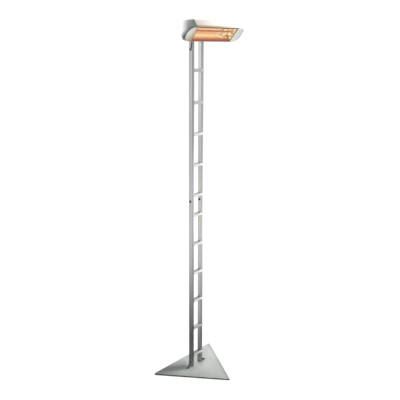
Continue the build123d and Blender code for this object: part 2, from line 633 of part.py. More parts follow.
def build_terminal_box():
    """Terminal box with a round back, its gasket, screws, terminal block and the lead's tail."""
    outer = extrude(on_rear_wall(-BOX_HALF) * box_section(BOX_R, GASKET), 2 * BOX_HALF)
    hollow_half = BOX_HALF - BOX_WALL
    hollow = extrude(on_rear_wall(-hollow_half) * box_section(BOX_R - BOX_WALL, GASKET - JOIN), 2 * hollow_half)
    box = outer - hollow
    boss_length = BOX_SCREW_GRIP + BOX_BOSS_PAST
    for place in box_screw_places():
        boss = place * Pos(0, 0, SHEET + GASKET + boss_length / 2) * Cylinder(BOX_BOSS_R, boss_length)
        box += boss & outer
    pivot_bore = Pos(0, PIVOT_Y, PIVOT_Z) * Rot(0, 90, 0) * Cylinder(PIVOT_R, 4 * BOX_HALF)
    box = box - pivot_bore - box_screw_holes()
    save(box, "terminal_box")
    sheet = on_rear_wall(0) * Pos(0, GASKET / 2, 0) * Box(2 * BOX_R, GASKET, 2 * BOX_HALF)
    save(sheet - wiring_hole() - box_screw_holes(), "box_gasket")
    shank = SHEET + GASKET + BOX_SCREW_GRIP - SCREW_SHORT
    screw = Rot(180, 0, 0) * socket_screw(BOX_SCREW_D, shank, BOX_SCREW_HEAD_D, BOX_SCREW_HEAD_H)
    save(Compound([place * screw for place in box_screw_places()]), "box_screws")
    block = on_rear_wall(BLOCK_X) * Pos(0, GASKET + BLOCK_SIZE[2] / 2, 0) * Box(
        BLOCK_SIZE[1], BLOCK_SIZE[2], BLOCK_SIZE[0])
    block = fillet(block.edges().filter_by(Axis.X), BLOCK_EDGE_R)
    save(block, "terminal_block")
    reach = pivot_to_wall()
    tail_points = [(0, 0, LEAD_START_X), (0, 0, BLOCK_X), (0, GASKET + BLOCK_SIZE[2] - reach, BLOCK_X)]
    tail_place = on_rear_wall(0) * Pos(0, reach, 0)
    save(cord([tuple((tail_place * Pos(*p)).position) for p in tail_points], LEAD_D), "lead_tail")


def pivot_screw(side, bore_r):
    """Hex-headed pivot from outside an ear into the terminal box, bored through where bore_r isn't 0."""
    head_x = OUTER_FACE_X + RUN_GAP
    end_x = BOX_HALF - BOX_WALL
    shank = Pos((head_x + end_x) / 2, 0, 0) * Rot(0, 90, 0) * Cylinder(PIVOT_R - PIVOT_PRESS, head_x - end_x)
    hexagon = extrude(RegularPolygon(PIVOT_HEAD_R, 6), PIVOT_HEAD_H)
    hexagon = hexagon & (Pos(0, 0, PIVOT_HEAD_H / 2) * chamfer(
        Cylinder(PIVOT_HEAD_R, PIVOT_HEAD_H).edges().sort_by(Axis.Z)[-1], PIVOT_HEAD_CHAMFER))
    screw = shank + Pos(head_x, 0, 0) * Rot(0, 90, 0) * hexagon
    if bore_r:
        screw -= Rot(0, 90, 0) * Cylinder(bore_r, 4 * OUTER_FACE_X)
    screw = Pos(0, PIVOT_Y, PIVOT_Z) * screw
    return screw if side > 0 else mirror(screw, Plane.YZ)


def bracket_screw_places():
    """Seats of the bracket's screws on its front."""
    return [facing((side * POST_X, BRACKET_FRONT_Y, z), (0, -1, 0))
            for side in SIDES.values() for z in BRACKET_SCREW_Z]


def bracket_screw_holes():
    """Clearance holes for the bracket screws."""
    depth = BRACKET_SHEET + POST_WALL + BRACKET_SCREW_PAST
    hole = Pos(0, 0, -depth / 2) * Cylinder(BRACKET_SCREW_D / 2 + SCREW_CLEAR, depth)
    return [p * hole for p in bracket_screw_places()]


def build_bracket():
    """Folded bracket on the posts' fronts with two ears, its screws, the pivots and their washers."""
    top_z = POST_TOP_Z
    height = top_z - BRACKET_LOW_Z
    web = Pos(0, BRACKET_FRONT_Y + BRACKET_SHEET / 2, (top_z + BRACKET_LOW_Z) / 2) * Box(
        2 * OUTER_FACE_X, BRACKET_SHEET, height)
    ear_face = Pos(PIVOT_Y, PIVOT_Z) * Circle(EAR_R) + make_face(Polyline(
        (PIVOT_Y, PIVOT_Z - EAR_R), (-POST_SIZE / 2, BRACKET_LOW_Z), (-POST_SIZE / 2, top_z),
        (PIVOT_Y, PIVOT_Z + EAR_R), close=True))
    ear = Pos(EAR_INNER_X, 0, 0) * extrude(Plane.YZ * ear_face, BRACKET_SHEET)
    bracket = web + ear + mirror(ear, Plane.YZ)
    bore = Pos(0, PIVOT_Y, PIVOT_Z) * Rot(0, 90, 0) * Cylinder(PIVOT_R + PIVOT_CLEAR, 4 * OUTER_FACE_X)
    save(bracket - bore - bracket_screw_holes(), "head_bracket")
    shank = BRACKET_SHEET + POST_WALL + BRACKET_SCREW_PAST - SCREW_SHORT
    screw = socket_screw(BRACKET_SCREW_D, shank, BRACKET_HEAD_D, BRACKET_HEAD_H)
    save(Compound([p * screw for p in bracket_screw_places()]), "bracket_screws")
    save(pivot_screw(-1, LEAD_BORE_R), "hollow_pivot")
    save(pivot_screw(1, 0), "pivot_bolt")
    ring = extrude(Circle(WASHER_R) - Circle(PIVOT_R + RUN_GAP), WASHER_THICK)
    washer = Pos(BOX_HALF, PIVOT_Y, PIVOT_Z) * Rot(0, 90, 0) * ring
    save(Compound([washer, mirror(washer, Plane.YZ)]), "pivot_washers")


# ---- lamp lead --------------------------------------------------------------------------------------

def cord(points, diameter):
    """Tube along straight runs joined by arcs as large as their runs allow; prints the arcs' radii."""
    nodes = [Vector(*p) for p in points]
    radii = []
    for before, corner, after in zip(nodes, nodes[1:], nodes[2:]):
        half_turn = radians((corner - before).get_angle(after - corner)) / 2
        shorter = min((corner - before).length, (after - corner).length)
        radii.append(0.45 * shorter * cos(half_turn) / sin(half_turn))
    path = FilletPolyline(*nodes, radius=radii)
    start = Plane(origin=nodes[0], z_dir=nodes[1] - nodes[0])
    tube = sweep(start * Circle(diameter / 2), path=path)
    print("cord: length", round(path.length, 1), "radii", [round(r, 1) for r in radii],
          "volume ratio", round(tube.volume / (path.length * pi * diameter ** 2 / 4), 5))
    return tube


def build_lead():
    """Lead from the hollow pivot into the left post and down to the gland, with grommet and gland."""
    save(cord(LEAD_ROUTE, LEAD_D), "lamp_lead")
    grommet = revolve(Plane.XZ * make_face(Polyline(
        (LEAD_BORE_R, GROMMET_LIP), (GROMMET_R - 1, GROMMET_LIP), (GROMMET_R, GROMMET_LIP / 2), (GROMMET_R, 0),
        (GROMMET_HOLE_R, 0), (GROMMET_HOLE_R, -POST_WALL), (GROMMET_INNER_R, -POST_WALL),
        (GROMMET_HOLE_R, -POST_WALL - GROMMET_INNER_LIP), (LEAD_BORE_R, -POST_WALL - GROMMET_INNER_LIP),
        close=True)), Axis.Z)
    save(facing((-OUTER_FACE_X, GROMMET_Y, GROMMET_Z), (-1, 0, 0)) * grommet, "lead_grommet")
    flat_r = GLAND_HEX / 2
    hexagon = extrude(RegularPolygon(flat_r, 6, major_radius=False), GLAND_BODY)
    top = GLAND_BODY + GLAND_NUT
    nut_r = flat_r - GLAND_NUT_IN
    dome_in, dome_high = GLAND_DOME
    nut = revolve(Plane.XZ * make_face(Polyline(
        (0, GLAND_BODY), (nut_r, GLAND_BODY), (nut_r, top - dome_high), (nut_r - dome_in, top), (0, top),
        close=True)), Axis.Z)
    thread_length = POST_WALL + GLAND_LOCKNUT
    thread = Pos(0, 0, -thread_length / 2) * Cylinder(GLAND_R - SCREW_CLEAR, thread_length)
    locknut = Pos(0, 0, -POST_WALL - GLAND_LOCKNUT / 2) * Cylinder(GLAND_R + GLAND_LOCKNUT, GLAND_LOCKNUT)
    bore_length = thread_length + GLAND_BODY
    bore = Pos(0, 0, GLAND_BODY - bore_length / 2) * Cylinder(LEAD_BORE_R, bore_length)
    entry = Pos(0, 0, top) * Cylinder(LEAD_BORE_R, 2 * GLAND_ENTRY)
    gland = hexagon + nut + thread + locknut - bore - entry
    save(facing((-POST_X, POST_SIZE / 2, GLAND_Z), (0, 1, 0)) * gland, "mains_gland")


build_base()
build_column()
build_housing()
build_end_caps()
build_mouth()
build_lamp()
build_terminal_box()
build_bracket()
build_lead()
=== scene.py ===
"""Outdoor heater: finishes, glow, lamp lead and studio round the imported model.

Metres, in the model's own frame: +Z up, the floor at z = 0, the mouth facing -Y and down.
"""
import bpy
import json
import numpy as np
from math import pi, radians
from mathutils import Euler, Matrix, Vector


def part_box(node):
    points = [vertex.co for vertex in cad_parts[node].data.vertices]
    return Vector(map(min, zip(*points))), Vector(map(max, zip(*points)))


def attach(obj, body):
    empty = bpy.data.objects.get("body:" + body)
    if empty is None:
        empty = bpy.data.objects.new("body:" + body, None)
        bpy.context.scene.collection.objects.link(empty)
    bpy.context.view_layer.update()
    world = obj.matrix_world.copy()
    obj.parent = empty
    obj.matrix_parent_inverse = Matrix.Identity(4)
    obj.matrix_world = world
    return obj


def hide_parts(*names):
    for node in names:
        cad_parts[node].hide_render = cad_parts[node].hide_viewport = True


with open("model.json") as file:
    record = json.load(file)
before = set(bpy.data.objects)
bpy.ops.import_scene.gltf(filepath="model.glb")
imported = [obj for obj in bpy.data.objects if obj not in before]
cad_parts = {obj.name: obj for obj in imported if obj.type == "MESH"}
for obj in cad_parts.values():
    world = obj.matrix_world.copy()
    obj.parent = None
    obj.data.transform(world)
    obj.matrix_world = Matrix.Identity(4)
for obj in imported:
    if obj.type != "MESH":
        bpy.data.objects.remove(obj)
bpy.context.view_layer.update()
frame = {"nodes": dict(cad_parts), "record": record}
nodes = frame["nodes"]

# ---- places and sizes ---------------------------------------------------------------------------------
CAMERA_AT = (-2.8457, -2.5263, 2.1724)
CAMERA_HEADING = 48.79          # degrees from +Y towards +X
CAMERA_PITCH = 13.31            # degrees down
CAMERA_ROLL = 0.22              # degrees
LENS, SENSOR = 54.0, 36.0       # millimetres
VIEW_SHIFT = -0.03

COLUMN_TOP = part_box("left_upper_post")[1][2]
COLUMN_X = 0.044                # from the column's middle to the middle of a post
POST_HALF = 0.0125
OVER_POST = (0.024, 0.036)      # a rung passes onto the right post's front between these

HEAD_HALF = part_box("housing_shell")[1][0]
lamp_low, lamp_high = (Vector(corner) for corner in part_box("quartz_tube"))
LAMP_AXIS = (lamp_low + lamp_high) / 2
LAMP_HALF = (lamp_high.x - lamp_low.x) / 2
MOUTH_LEAN = radians(38.0)      # how far the mouth's plane leans forward
MOUTH_BEFORE_LAMP = 0.0300      # from the lamp's axis out to the mouth's plane
LIP_BELOW_LAMP = 0.0555         # from the lamp's axis down that plane to the lower lip
LIP_HIGH = 0.1050               # height of the upper lip; heights in the head count from the lower one
LIPS_PART = (0.03, 0.07)        # the lower lip's colour gives way to the upper one's between these heights
FOLDS = (0.010, 0.100)          # heights between which the reflector's folds lie
LIP_SHADE = 0.018               # how far the shade above the upper lip reaches up the front slope

FACE_CENTRE = (0.195, 0.0485)   # round front face of an end cap: across and up
FACE_HALF = (0.062, 0.0565)
FACE_EDGE = (0.78, 0.88)        # its colours end between these squares of the round's radius
FACE_ACROSS = (0.178, 0.245)    # from the mouth's side towards the cap's tip
CAP_FADE = (0.659, -0.752, 0.0)     # the left cap's painted reflection darkens this way
CAP_FADE_ENDS = (-0.155, -0.015)    # between these places along it
RIM_ENDS = (0.020, 0.052)       # the left cap's painted dark rim of shade fades out between these depths
RIM_SLANT = 0.4                 # and is shallower by this share of the height

PLATE_LOW, PLATE_HIGH = (Vector(corner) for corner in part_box("base_plate"))
PLATE_DEEP = (-0.24, 0.12)      # its painted shade and reflection change between these, from the front corner to the rear edge
TINT_ENDS = (-0.10, -0.01)      # its faint colour changes between these, from left to right
SHADE_BAND_FROM = (-0.060, 0.0, 0.0)  # the band of painted shade on it starts at the left foot
SHADE_BAND_TURN = radians(-142.0)     # turns the band's direction onto +X
SHADE_BAND_SIDES = (-0.10, 0.055)     # how far the band reaches to its sides
SHADE_BAND_START = 0.03               # it fades in over this length
EDGE_INWARDS = (-0.8285, 0.5607, 0.0)   # from the plate's right edge inwards
STRIP_ENDS = (-0.162, -0.146)   # the darker painted strip of shade along that edge fades out between these places, that way

LEAD_DIAMETER = 0.007
# from the hollow pivot, down beside the left post, through the grommet and down inside the post to the gland
LEAD_ROUTE = [
    (-0.0499, -0.0350, 2.279),
    (-0.0780, -0.0350, 2.279),
    (-0.0780, -0.0280, 2.240),
    (-0.0700, -0.0270, 2.205),
    (-0.0760, -0.0260, 2.178),
    (-0.0710, -0.0200, 2.156),
    (-0.0680, -0.0025, 2.150),
    (-0.0440, -0.0025, 2.150),
    (-0.0437, -0.0020, 2.134),
    (-0.0437, -0.0020, 2.118),
    (-0.0441, -0.0016, 0.128),
    (-0.0441, -0.0016, 0.104),
    (-0.0440, -0.0030, 0.080),
    (-0.0440, 0.0145, 0.080),
]
FLOOR_RADIUS, FLOOR_SIDES = 30, 96

# ---- painted shade and reflection on the brushed steel, as tones: height above the floor, reflectance ---
LEFT_SIDE_TONES = [
    (0.0, 0.50), (0.04, 0.30), (0.08, 0.16), (0.13, 0.09), (0.24, 0.068), (0.43, 0.144), (0.56, 0.215),
    (0.78, 0.374), (0.99, 0.453), (1.27, 0.435), (1.53, 0.413), (1.91, 0.423), (2.1, 0.388),
]
LEFT_FRONT_TONES = [
    (0.0, 0.34), (0.04, 0.20), (0.08, 0.12), (0.13, 0.085), (0.24, 0.058), (0.43, 0.161), (0.56, 0.206),
    (0.78, 0.305), (0.99, 0.402), (1.27, 0.43), (1.47, 0.39), (1.59, 0.327), (2.1, 0.31),
]
RIGHT_SIDE_TONES = [
    (0.0, 0.34), (0.06, 0.28), (0.12, 0.18), (0.21, 0.181), (0.4, 0.336), (0.54, 0.362), (0.75, 0.412),
    (0.96, 0.49), (1.25, 0.541), (1.45, 0.46), (1.58, 0.469), (1.9, 0.568), (2.1, 0.573),
]
RIGHT_FRONT_TONES = [
    (0.0, 0.34), (0.06, 0.28), (0.12, 0.14), (0.21, 0.117), (0.4, 0.245), (0.54, 0.28), (0.75, 0.403),
    (0.96, 0.484), (1.25, 0.439), (1.45, 0.4), (1.9, 0.404), (2.1, 0.356),
]
RUNG_FRONT_TONES = [
    (0.0, 0.64), (0.15, 0.64), (0.25, 0.40), (0.35, 0.40), (0.55, 0.80), (1.60, 0.86), (1.80, 0.59),
    (2.0, 0.52), (2.3, 0.50),
]
RUNG_TOP_TONES = [
    (0.0, 0.28), (0.15, 0.28), (0.25, 0.60), (0.35, 0.60), (0.50, 0.36), (1.60, 0.40), (1.75, 0.60),
    (2.3, 0.60),
]
# painted highlight along a post's far front edge: its width, and the share it adds at each height
EDGE_LIGHT = 0.010
EDGE_LIGHT_SHARES = [(0.0, 0.0), (0.50, 0.0), (0.80, 0.6), (1.05, 1.7), (1.45, 1.6), (1.75, 0.3), (2.3, 0.0)]

# ---- scales of the noises, for each metre -------------------------------------------------------------
PEEL = 1600.0                   # orange peel of a powder coat
DRIFT = 14.0                    # slow drifts of tone and gloss
SPECKS = 900.0                  # grains of fired clay
NOISE_LOW, NOISE_HIGH = 0.3, 0.7    # most values of a noise lie between these


# ---- finishes -----------------------------------------------------------------------------------------

def grey(value):
    return (value, value, value)


class Finish:
    """A node material on Object coordinates. Methods that add a node return the socket it gives."""

    def __init__(self, name, sockets):
        self.material = bpy.data.materials.new(name)
        self.material.use_nodes = True
        self.tree = self.material.node_tree
        self.shader = self.tree.nodes["Principled BSDF"]
        self.coordinates = self.tree.nodes.new("ShaderNodeTexCoord")
        for socket, value in sockets.items():
            self.shader.inputs[socket].default_value = value

    def add(self, kind, inputs, output=0, **settings):
        """Add a node, set its settings, and fill its inputs from numbers or sockets."""
        node = self.tree.nodes.new(kind)
        for setting, value in settings.items():
            setattr(node, setting, value)
        for key, value in inputs.items():
            if isinstance(value, bpy.types.NodeSocket):
                self.tree.links.new(value, node.inputs[key])
            else:
                node.inputs[key].default_value = value
        return node.outputs[output]

    def place(self, scale=(1, 1, 1), turn=(0, 0, 0), centre=(0, 0, 0)):
        """Object coordinates about a centre, then turned and scaled."""
        moved = self.add("ShaderNodeVectorMath", {0: self.coordinates.outputs["Object"], 1: centre},
                         operation="SUBTRACT")
        return self.add("ShaderNodeMapping", {"Vector": moved, "Rotation": turn, "Scale": scale})

    def axis(self, name, vector=None):
        """One coordinate of a vector, or of the Object coordinates."""
        vector = vector or self.coordinates.outputs["Object"]
        return self.add("ShaderNodeSeparateXYZ", {"Vector": vector}, output="XYZ".index(name))

    def along(self, direction):
        """How far along a direction from the origin."""
        return self.add("ShaderNodeVectorMath", {0: self.coordinates.outputs["Object"], 1: direction},
                        output=1, operation="DOT_PRODUCT")

    def facing(self, axis, none, full):
        """From 0 to 1 as the surface's direction goes from one value to another on an axis of the object."""
        return self.spread(self.axis(axis, self.coordinates.outputs["Normal"]), none, full)

    def in_head(self):
        """Height above the mouth's lower lip, and depth behind its plane."""
        local = self.place(turn=(-MOUTH_LEAN, 0, 0), centre=LAMP_AXIS)
        height = self.calc(self.axis("Z", local), LIP_BELOW_LAMP, "ADD")
        depth = self.calc(self.axis("Y", local), MOUTH_BEFORE_LAMP, "ADD")
        return height, depth

    def noise(self, vector, scale, detail=2.0):
        return self.add("ShaderNodeTexNoise", {"Vector": vector, "Scale": scale, "Detail": detail})

    def cells(self, vector, scale):
        return self.add("ShaderNodeTexVoronoi", {"Vector": vector, "Scale": scale, "Smoothness": 0.6},
                        feature="SMOOTH_F1")

    def spread(self, value, low, high, to_low=0.0, to_high=1.0):
        """Carry a range of values to another, clamped."""
        return self.add("ShaderNodeMapRange", {0: value, 1: low, 2: high, 3: to_low, 4: to_high})

    def calc(self, first, second, operation="MULTIPLY"):
        """Two numbers multiplied, or joined by another operation."""
        return self.add("ShaderNodeMath", {0: first, 1: second}, operation=operation)

    def ramp(self, value, stops):
        """Colours, or greys given as one number, at places from 0 to 1."""
        colours = self.add("ShaderNodeValToRGB", {0: value})
        band = colours.node.color_ramp
        while len(band.elements) < len(stops):
            band.elements.new(0.5)
        for element, (place, colour) in zip(band.elements, stops):
            element.position = place
            element.color = (*(grey(colour) if isinstance(colour, float) else colour), 1.0)
        return colours

    def between(self, noise, first, second, low=NOISE_LOW, high=NOISE_HIGH):
        """A colour that drifts from one to another with a noise."""
        return self.ramp(noise, [(low, first), (high, second)])

    def mix(self, share, first, second, blend="MIX"):
        """Two colours mixed by a share."""
        node = self.tree.nodes.new("ShaderNodeMix")
        node.data_type = "RGBA"
        node.blend_type = blend
        for socket, value in ((node.inputs[0], share), (node.inputs[6], first), (node.inputs[7], second)):
            if isinstance(value, bpy.types.NodeSocket):
                self.tree.links.new(value, socket)
            else:
                socket.default_value = value if isinstance(value, float) else (*value, 1.0)
        return node.outputs[2]

    def times(self, first, second):
        """Two colours multiplied."""
        return self.mix(1.0, first, second, "MULTIPLY")

    def feed(self, socket, value):
        """Link a socket of the shader."""
        self.tree.links.new(value, self.shader.inputs[socket])

    def roughen(self, noise, smooth, rough):
        """Roughness that drifts with a noise."""
        self.feed("Roughness", self.spread(noise, NOISE_LOW, NOISE_HIGH, smooth, rough))

    def bump(self, height, strength, distance):
        self.feed("Normal", self.add("ShaderNodeBump", {"Height": height, "Strength": strength,
                                                        "Distance": distance}))


def by_height(f, tones):
    """Grey tones at heights from the floor to the top of the column, blended between them."""
    return f.ramp(f.spread(f.axis("Z"), 0.0, COLUMN_TOP), [(z / COLUMN_TOP, tone) for z, tone in tones])


def tinted(f, shade, middle):
    """A column's faint colour: cool green near the floor, its own in the middle, nearly neutral on top."""
    tint = f.ramp(f.spread(f.axis("Z"), 0.0, COLUMN_TOP), [
        (0.0, (0.94, 1.0, 0.96)), (0.15, (0.94, 1.0, 0.98)), (0.30, 1.0), (0.45, middle), (0.62, middle),
        (0.75, (1.0, 1.0, 0.985)), (1.0, (1.0, 1.0, 0.985))])
    return f.times(shade, tint)


def brushed_column(name, side_tones, front_tones, middle, far_edge):
    """Stainless tube brushed along its length, with painted shade and reflection as tones: light at the foot,
    darkest about 0.2 m up and lighter above. Its side is painted lighter towards the front, its front has
    painted tones of its own, and a painted highlight runs along the front's far edge at mid height."""
    f = Finish(name, {"Metallic": 0.85})
    grain = f.noise(f.place(scale=(1400, 1400, 9)), 1.0, detail=3.0)
    blotch = f.noise(f.place(scale=(18, 18, 5)), 1.0, detail=3.0)
    # painted shade: the side is lighter towards the front and darker towards the rear
    side = f.calc(by_height(f, side_tones), f.spread(f.axis("Y"), -POST_HALF, POST_HALF, 1.13, 0.82))
    # painted highlight along the front's far edge, strongest at mid height
    edge_highlight = f.calc(f.spread(f.axis("X"), far_edge - EDGE_LIGHT, far_edge), by_height(f, EDGE_LIGHT_SHARES))
    front = f.calc(by_height(f, front_tones), f.calc(edge_highlight, 1.0, "ADD"))
    # side and front mixed by facing, as painted lit and shaded copies
    shade = tinted(f, f.mix(f.facing("Y", -0.65, -0.75), side, front), middle)
    f.feed("Base Color", f.times(shade, f.between(grain, 0.88, 1.0, 0.25, 0.75)))
    f.roughen(blotch, 0.30, 0.44)
    f.bump(grain, 0.10, 0.0002)
    return f.material


def rung_steel():
    """Folded rungs, brushed along their length. Fronts and tops have painted shade of their own by height,
    and a front is painted lighter where it laps the right post."""
    f = Finish("rung_steel", {"Metallic": 0.7})
    grain = f.noise(f.place(scale=(14, 1400, 1400)), 1.0, detail=3.0)
    # painted shade by height, and a painted lighter lap over the right post
    front = f.calc(by_height(f, RUNG_FRONT_TONES), f.spread(f.axis("X"), *OVER_POST, 0.90, 1.07))
    # tops take painted shade of their own
    shade = f.mix(f.facing("Z", 0.2, 0.9), front, by_height(f, RUNG_TOP_TONES))
    f.feed("Base Color", f.times(shade, f.between(grain, 0.9, 1.0, 0.25, 0.75)))
    f.roughen(grain, 0.32, 0.46)
    f.bump(grain, 0.08, 0.0002)
    return f.material


def plate_steel():
    """Brushed steel plate, grain along its rear edge. Its tones are painted shade and reflection: near-black
    edges, changes from left to right and from front to rear, a band of painted shade from the left foot
    towards the left corner and a darker strip along its right edge."""
    f = Finish("plate_steel", {"Metallic": 0.35, "Specular IOR Level": 0.3})
    grain = f.noise(f.place(scale=(7, 900, 900)), 1.0, detail=4.0)
    blotch = f.noise(f.place(scale=(5, 9, 5)), 1.0, detail=3.0)
    # painted shade and reflection: darker to the left, lighter to the right, and changing front to rear
    across = f.ramp(f.spread(f.axis("X"), PLATE_LOW.x, PLATE_HIGH.x), [
        (0.0, 0.17), (0.20, 0.30), (0.32, 0.43), (0.42, 0.47), (0.50, 0.53), (0.72, 0.50), (0.86, 0.58),
        (1.0, 0.60)])
    deep = f.ramp(f.spread(f.axis("Y"), *PLATE_DEEP), [
        (0.0, 0.75), (0.32, 0.88), (0.50, 1.0), (0.66, 1.0), (0.86, 0.87)])
    strip = f.spread(f.along(EDGE_INWARDS), *STRIP_ENDS, 0.80, 1.0)
    shade = f.calc(across, f.calc(f.calc(deep, 1.15), strip))
    # a painted band of shade from the left foot towards the left corner
    lane = f.place(turn=(0, 0, SHADE_BAND_TURN), centre=SHADE_BAND_FROM)
    aside = f.ramp(f.spread(f.axis("Y", lane), *SHADE_BAND_SIDES), [
        (0.0, 0.12), (0.32, 0.42), (0.55, 1.0), (0.74, 1.0), (1.0, 0.0)])
    ahead = f.spread(f.axis("X", lane), 0.0, SHADE_BAND_START)
    shade = f.mix(f.calc(f.calc(aside, ahead), 0.85), shade, grey(0.13))
    tint = f.mix(f.spread(f.axis("X"), *TINT_ENDS), (0.935, 1.0, 0.96), (0.98, 1.0, 0.97))
    # painted shade: faces not facing up are near-black
    shade = f.mix(f.facing("Z", 0.3, 0.9), grey(0.015), f.times(shade, tint))
    f.feed("Base Color", f.times(shade, f.between(grain, 0.82, 1.0, 0.2, 0.8)))
    f.roughen(blotch, 0.5, 0.62)
    f.bump(grain, 0.12, 0.0003)
    return f.material


def powder_coat(name, colour, metallic, roughness, speck=PEEL):
    """Powder coat: fine orange peel, faint drifts of tone and gloss."""
    f = Finish(name, {"Metallic": metallic})
    peel = f.noise(f.place(), speck, detail=1.0)
    drift = f.noise(f.place(), DRIFT, detail=3.0)
    f.feed("Base Color", f.between(drift, tuple(0.94 * c for c in colour), colour))
    f.roughen(drift, roughness - 0.05, roughness + 0.05)
    f.bump(peel, 0.12, 0.0002)
    return f.material


def left_cap_shade(f, height, depth):
    """Painted reflection and shade: dark beside the housing and along the front rim, lighter outwards."""
    top = f.ramp(f.spread(f.along(CAP_FADE), *CAP_FADE_ENDS), [
        (0.0, 0.42), (0.21, 0.50), (0.38, 0.80), (0.50, 0.80), (0.54, 0.74), (0.58, 0.64), (0.665, 0.46),
        (0.71, 0.35), (0.79, 0.20), (0.87, 0.14), (1.0, (0.095, 0.125, 0.10))])
    slanted = f.calc(depth, f.calc(height, RIM_SLANT), "ADD")
    return f.mix(f.spread(slanted, *RIM_ENDS, 1.0, 0.0), top, (0.046, 0.048, 0.056))


def left_face_shade(f, height, over):
    """Painted glow of the lamp and painted shade: pink above and olive below near the mouth, paler outwards
    and darker at the foot.
    """
    pink = f.ramp(over, [(0.0, (0.40, 0.24, 0.19)), (0.25, (0.50, 0.38, 0.33)), (0.55, (0.60, 0.55, 0.50)),
                         (1.0, 0.63)])
    olive = f.ramp(over, [(0.0, (0.33, 0.28, 0.17)), (0.25, (0.40, 0.34, 0.25)), (0.55, (0.57, 0.51, 0.43)),
                          (1.0, (0.62, 0.60, 0.56))])
    foot = f.ramp(f.spread(height, 0.0, 0.05), [(0.0, (0.60, 0.56, 0.52)), (0.5, (0.84, 0.82, 0.79)),
                                                (1.0, 1.0)])
    return f.times(f.mix(f.spread(height, 0.045, 0.075), olive, pink), foot)


def cast_silver():
    """Cast end caps with painted reflection and shade. The left one is painted dark beside the housing and
    along its front rim, and lighter outwards. The right one has a painted highlight, and painted grey shade
    on its outer side and its rear. Both fronts have the lamp's warmth painted on."""
    f = Finish("cast_silver", {"Metallic": 0.35, "Coat Weight": 0.2, "Coat Roughness": 0.2})
    peel = f.noise(f.place(), 1300.0, detail=1.0)
    height, depth = f.in_head()
    across = f.calc(f.axis("X"), 0.0, "ABSOLUTE")
    over = f.spread(across, *FACE_ACROSS)
    sideways = f.calc(f.calc(across, FACE_CENTRE[0], "SUBTRACT"), FACE_HALF[0], "DIVIDE")
    upwards = f.calc(f.calc(height, FACE_CENTRE[1], "SUBTRACT"), FACE_HALF[1], "DIVIDE")
    ring = f.calc(f.calc(sideways, sideways), f.calc(upwards, upwards), "ADD")
    faces_front = f.calc(f.facing("Z", -0.40, -0.55), f.facing("Y", -0.40, -0.60))
    in_round = f.calc(faces_front, f.spread(ring, *FACE_EDGE, 1.0, 0.0))
    left = f.mix(in_round, left_cap_shade(f, height, depth), left_face_shade(f, height, over))
    # the lamp's warmth painted on the right cap's front
    painted_warmth = f.ramp(over, [(0.0, (0.62, 0.58, 0.45)), (0.25, (0.64, 0.62, 0.52)), (0.6, (0.55, 0.57, 0.53)),
                         (1.0, (0.51, 0.51, 0.52))])
    # painted highlight on faces towards the front and left, painted grey shade outside and at the rear
    highlight_and_shade = f.mix(f.facing("X", 0.15, 0.60), grey(0.90), grey(0.42))
    highlight_and_shade = f.mix(f.facing("Y", -0.2, 0.2), highlight_and_shade, grey(0.42))
    right = f.mix(faces_front, highlight_and_shade, painted_warmth)
    f.feed("Base Color", f.mix(f.spread(f.axis("X"), -0.01, 0.01), left, right))
    f.roughen(peel, 0.34, 0.44)
    f.bump(peel, 0.10, 0.0002)
    return f.material


def white_coat():
    """White powder coat with painted light and shade. The front slope is painted the lightest; painted shade
    darkens it towards its left end and just above the mouth, and the other faces are painted grey as shade.
    The hems round the mouth are painted brown in the light of the lamp."""
    f = Finish("white_coat", {})
    peel = f.noise(f.place(), PEEL, detail=1.0)
    drift = f.noise(f.place(), DRIFT, detail=3.0)
    height = f.in_head()[0]
    # painted shade: the faces other than the front slope are grey
    shaded_shell = f.between(drift, (0.56, 0.56, 0.555), (0.60, 0.60, 0.595))
    slope = f.between(drift, (0.89, 0.89, 0.885), (0.91, 0.91, 0.905))
    # painted shade towards the left end
    sideways = f.ramp(f.spread(f.axis("X"), -HEAD_HALF, HEAD_HALF), [
        (0.0, (0.56, 0.54, 0.51)), (0.20, (0.74, 0.72, 0.69)), (0.45, (0.95, 0.95, 0.93)), (1.0, 1.0)])
    # painted shade just above the mouth, warmed by the lamp's light
    upwards = f.ramp(f.spread(height, LIP_HIGH, LIP_HIGH + LIP_SHADE), [
        (0.0, (0.40, 0.30, 0.20)), (0.16, (0.66, 0.55, 0.44)), (0.24, (0.95, 0.90, 0.83)), (1.0, 1.0)])
    upwards = f.mix(f.spread(f.axis("X"), 0.0, 0.14, 0.0, 0.8), upwards, (1.0, 0.97, 0.93))
    slope = f.times(f.times(slope, sideways), upwards)
    # hems painted brown and dark in the light of the lamp
    upper = f.ramp(f.spread(f.axis("X"), 0.0, 0.15), [(0.0, (0.26, 0.17, 0.10)), (1.0, (0.10, 0.05, 0.028))])
    hem = f.mix(f.spread(height, *LIPS_PART), (0.40, 0.10, 0.05), upper)
    on_slope = f.calc(f.facing("Y", -0.55, -0.75), f.facing("Z", 0.20, 0.40))
    on_hem = f.calc(f.facing("Y", -0.40, -0.60), f.facing("Z", -0.35, -0.50))
    f.feed("Base Color", f.mix(on_hem, f.mix(on_slope, shaded_shell, slope), hem))
    f.roughen(drift, 0.34, 0.42)
    f.bump(peel, 0.12, 0.0002)
    return f.material


def lit_frame():
    """Black frame with a dull red-brown glow from the lamp, strongest along its lower edge."""
    f = Finish("lit_frame", {"Emission Strength": 1.0, "Specular IOR Level": 0.15})
    peel = f.noise(f.place(), PEEL, detail=1.0)
    height = f.in_head()[0]
    f.feed("Emission Color", f.ramp(f.spread(height, 0.0, LIP_HIGH), [
        (0.0, (0.22, 0.060, 0.028)), (0.09, (0.30, 0.085, 0.040)), (0.16, (0.14, 0.060, 0.030)),
        (0.80, (0.06, 0.035, 0.020)), (1.0, (0.10, 0.055, 0.030))]))
    f.feed("Base Color", f.between(peel, 0.006, 0.010))
    f.roughen(peel, 0.4, 0.5)
    f.bump(peel, 0.12, 0.0002)
    return f.material


